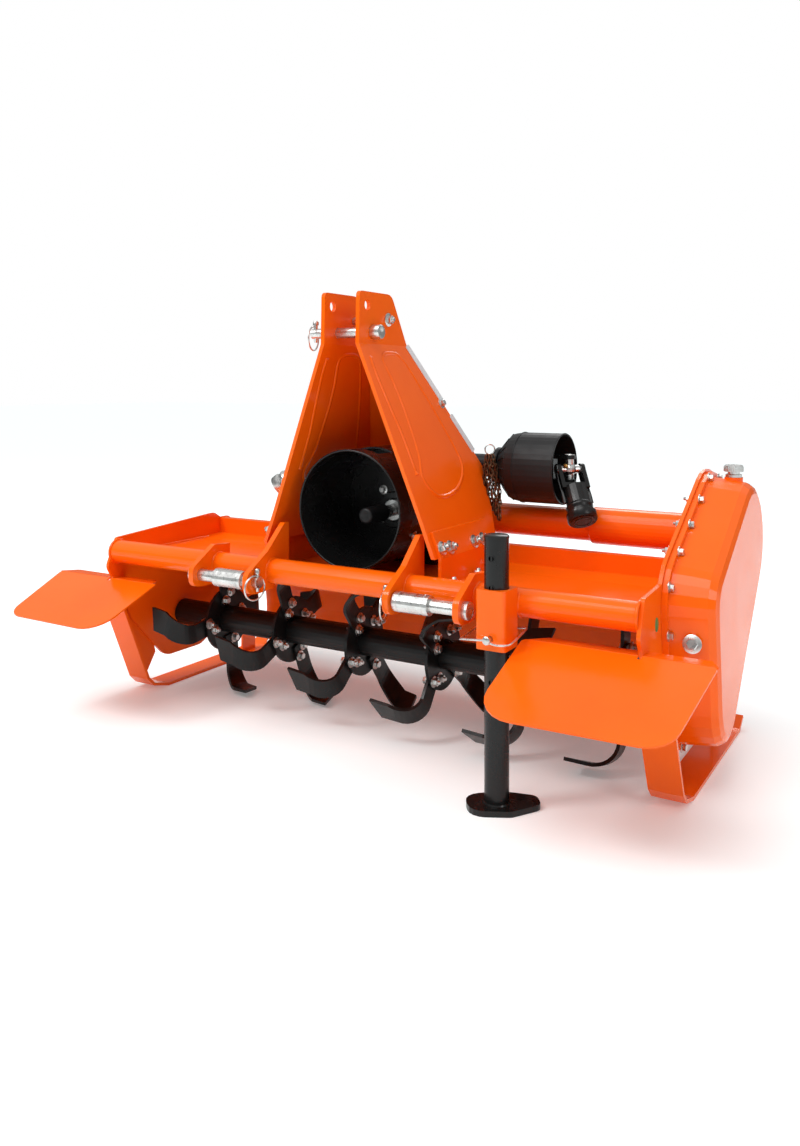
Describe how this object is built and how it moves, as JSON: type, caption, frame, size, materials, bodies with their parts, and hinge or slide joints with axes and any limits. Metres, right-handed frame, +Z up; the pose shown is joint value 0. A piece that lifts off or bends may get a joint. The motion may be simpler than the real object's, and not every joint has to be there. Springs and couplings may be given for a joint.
{
  "type": "rotary tiller",
  "caption": "three-point-hitch rotary tiller for a tractor, side gear drive, bladed rotor under a steel hood, tailgate, skids and parking stand",
  "frame": {"origin": "middle of the machine's outline, on the floor it stands on", "axes": "+X points to the side with the gear case, the longest way across the machine; +Y points to the rear, away from the tractor; +Z up"},
  "size_m": [1.781, 0.9416, 1.08],
  "materials": {
    "orange_paint": "glossy orange enamel",
    "black_paint": "semi-gloss black enamel",
    "black_plastic": "moulded, satin",
    "zinc": "bright zinc plate"
  },
  "bodies": {
    "frame": {"bearing_hub_left": "orange_paint", "cross_tube": "orange_paint", "deck": "orange_paint", "deflector_left": "orange_paint", "deflector_right": "orange_paint", "drive_shaft_bell_left": "black_plastic", "drive_shaft_bell_right": "black_plastic", "drive_shaft_cross_left": "zinc", "drive_shaft_cross_right": "zinc", "drive_shaft_end_left": "black_paint", "drive_shaft_end_right": "black_paint", "drive_shaft_guard": "black_plastic", "drive_shaft_yoke_left": "black_paint", "drive_shaft_yoke_right": "black_paint", "filler_cap": "zinc", "front_tube": "orange_paint", "gear_case": "orange_paint", "gearbox": "black_paint", "hitch_lug_inner_left": "orange_paint", "hitch_lug_inner_right": "orange_paint", "hitch_lug_outer_left": "orange_paint", "hitch_lug_outer_right": "orange_paint", "lower_pin_left": "zinc", "lower_pin_right": "zinc", "mast_back_plate": "orange_paint", "mast_foot_left": "orange_paint", "mast_foot_right": "orange_paint", "mast_plate_left": "orange_paint", "mast_plate_right": "orange_paint", "pin_sleeve_left": "zinc", "pin_sleeve_right": "zinc", "pto_shield": "black_paint", "rear_beam": "orange_paint", "rear_hood": "orange_paint", "side_plate_left": "orange_paint", "side_plate_right": "orange_paint", "skid_left": "orange_paint", "skid_right": "orange_paint", "stand_bracket": "orange_paint", "top_link_pin": "zinc"},
    "rotor": {"rotor_shaft": "black_paint", "tine_set_1": "black_paint", "tine_set_2": "black_paint", "tine_set_3": "black_paint", "tine_set_4": "black_paint", "tine_set_5": "black_paint", "tine_set_6": "black_paint"},
    "input_shaft": {"input_shaft": "black_paint"},
    "parking_stand": {"parking_stand": "black_paint"},
    "tailgate": {"tailgate": "orange_paint"}
  },
  "joints": [
    {"name": "rotor_spin", "type": "hinge", "parent": "frame", "child": "rotor", "pos_m": [0.0245, 0.03699, 0.197], "axis": [1, 0, 0], "continuous": true},
    {"name": "input_spin", "type": "hinge", "parent": "frame", "child": "input_shaft", "pos_m": [0.0245, -0.08801, 0.54], "axis": [0, 1, 0], "continuous": true},
    {"name": "stand_slide", "type": "slide", "parent": "frame", "child": "parking_stand", "axis": [0, 0, 1], "range_m": [0, 0.25]},
    {"name": "tailgate_hinge", "type": "hinge", "parent": "frame", "child": "tailgate", "pos_m": [0.0245, 0.38699, 0.3], "axis": [1, 0, 0], "range_deg": [0, 60]}
  ],
  "couplings": [
    {"joint": "input_spin", "follows": "rotor_spin", "ratio": 2.6}
  ]
}
